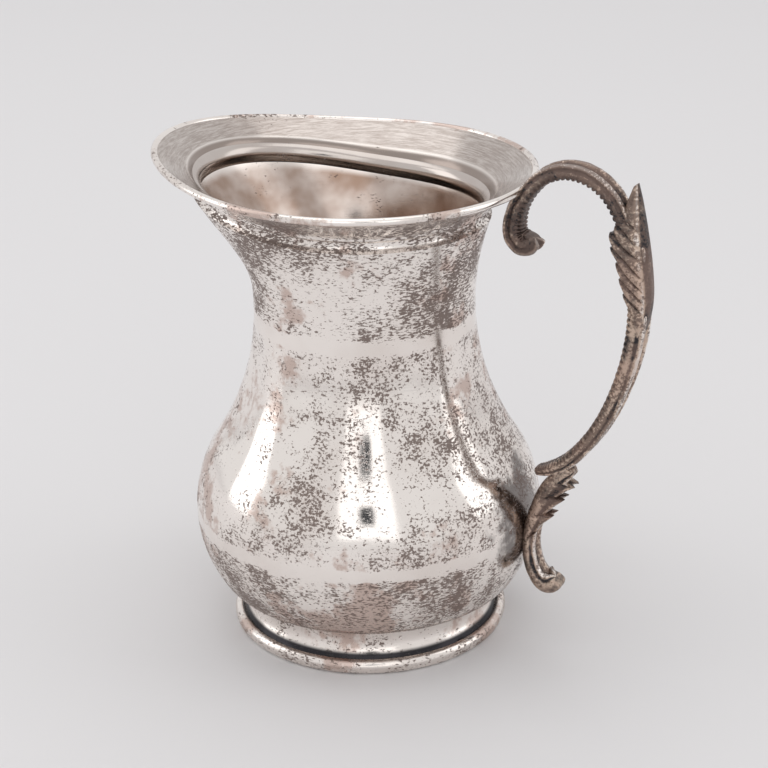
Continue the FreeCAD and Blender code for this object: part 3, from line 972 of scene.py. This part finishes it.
def softbox(name, place, aim, wide, tall, watts, tint=(1, 1, 1)):
    """Rectangular soft light facing its aim."""
    data = bpy.data.lights.new(name, "AREA")
    data.shape = "RECTANGLE"
    data.size = wide
    data.size_y = tall
    data.energy = watts
    data.color = tint
    made = bpy.data.objects.new(name, data)
    made.location = place
    made.rotation_euler = (Vector(aim) - Vector(place)).to_track_quat("-Z", "Y").to_euler()
    bpy.context.scene.collection.objects.link(made)
    return made


class JUG_OT_stage(bpy.types.Operator):
    """Add the pale floor, the soft studio light and the camera"""

    bl_idname = "jug.stage"
    bl_label = "Stage"

    def execute(self, context):
        scene = context.scene
        tint = looks()
        middle = (0.0, 0.0, 0.045)

        material, tree, shader, vector = new_material("Pale Floor")
        mottle = grain(tree, vector, 3, 2)
        paper = blend(tree, fade(tree, mottle, 0.3, 0.7, 0.0, 0.1), tint.floor, (0.70, 0.69, 0.695))
        tree.links.new(paper, shader.inputs["Base Color"])
        shader.inputs["Roughness"].default_value = 0.75
        shader.inputs["Specular IOR Level"].default_value = 0.2
        arranged(tree)
        card("floor", (0, 0, 0), (0, 0, 1), 8.0, 8.0, material)

        black, tree, shader, vector = new_material("Dark Card")
        shade = blend(tree, grain(tree, vector, 20), (0.02, 0.024, 0.03), (0.05, 0.055, 0.06))
        tree.links.new(shade, shader.inputs["Base Color"])
        shader.inputs["Roughness"].default_value = 0.8
        card("camera_card", (0.176, -0.352, 0.2165), middle, 0.085, 0.11, black)

        softbox("top_light", (-0.15, 0.10, 0.95), middle, 0.9, 0.9, 1.5)
        softbox("left_light", (-0.85, -0.35, 0.45), middle, 0.5, 0.9, 1.2)
        softbox("right_light", (0.80, 0.30, 0.45), middle, 0.5, 0.9, 0.8)
        softbox("front_light", (0.30, -0.60, 0.40), middle, 0.62, 0.62, 0.60)

        world = bpy.data.worlds.new("Studio")
        scene.world = world
        world.use_nodes = True
        back = world.node_tree.nodes["Background"]
        back.inputs["Color"].default_value = (0.93, 0.925, 0.93, 1.0)
        back.inputs["Strength"].default_value = 0.86

        data = bpy.data.cameras.new("camera")
        data.lens = 93.75
        data.sensor_width = 36.0
        data.clip_start = 0.01
        data.clip_end = 20.0
        camera = bpy.data.objects.new("camera", data)
        scene.collection.objects.link(camera)
        heading = Vector((-math.sin(math.radians(26)), math.cos(math.radians(26)), 0))
        pitch = math.radians(22.8)
        look = heading * math.cos(pitch) + Vector((0, 0, -math.sin(pitch)))
        turn = look.to_track_quat("-Z", "Y").to_matrix().to_4x4()
        roll = Matrix.Rotation(math.radians(-0.87), 4, "Z")
        camera.matrix_world = Matrix.Translation((0.1581, -0.3164, 0.1971)) @ turn @ roll
        scene.camera = camera
        scene.view_settings.view_transform = "Standard"
        return {"FINISHED"}


class JUG_PT_panel(bpy.types.Panel):
    """Sizes, colours and pieces of the cream jug"""

    bl_idname = "JUG_PT_panel"
    bl_label = "Cream Jug"
    bl_space_type = "VIEW_3D"
    bl_region_type = "UI"
    bl_category = "Cream Jug"

    def draw(self, context):
        layout = self.layout
        for group in (context.scene.jug_sizes, context.scene.jug_looks):
            box = layout.box()
            for key in group.bl_rna.properties.keys():
                if key not in ("rna_type", "name"):
                    box.prop(group, key)
        for operator in PIECES:
            layout.operator(operator.bl_idname)


PIECES = (
    JUG_OT_neck, JUG_OT_belly, JUG_OT_base, JUG_OT_rim, JUG_OT_foot, JUG_OT_upper_scroll,
    JUG_OT_bow, JUG_OT_lower_scroll, JUG_OT_leaf, JUG_OT_stage,
)
CLASSES = (JugSizes, JugLooks, *PIECES, JUG_PT_panel)


def register():
    """Registers the classes and hangs the settings on the scene."""
    for item in CLASSES:
        bpy.utils.register_class(item)
    bpy.types.Scene.jug_sizes = bpy.props.PointerProperty(type=JugSizes)
    bpy.types.Scene.jug_looks = bpy.props.PointerProperty(type=JugLooks)


def unregister():
    """Takes the settings and classes away again."""
    del bpy.types.Scene.jug_looks
    del bpy.types.Scene.jug_sizes
    for item in reversed(CLASSES):
        bpy.utils.unregister_class(item)


def main():
    register()
    for operator in PIECES:
        family, name = operator.bl_idname.split(".")
        getattr(getattr(bpy.ops, family), name)()


if __name__ == "__main__":
    main()
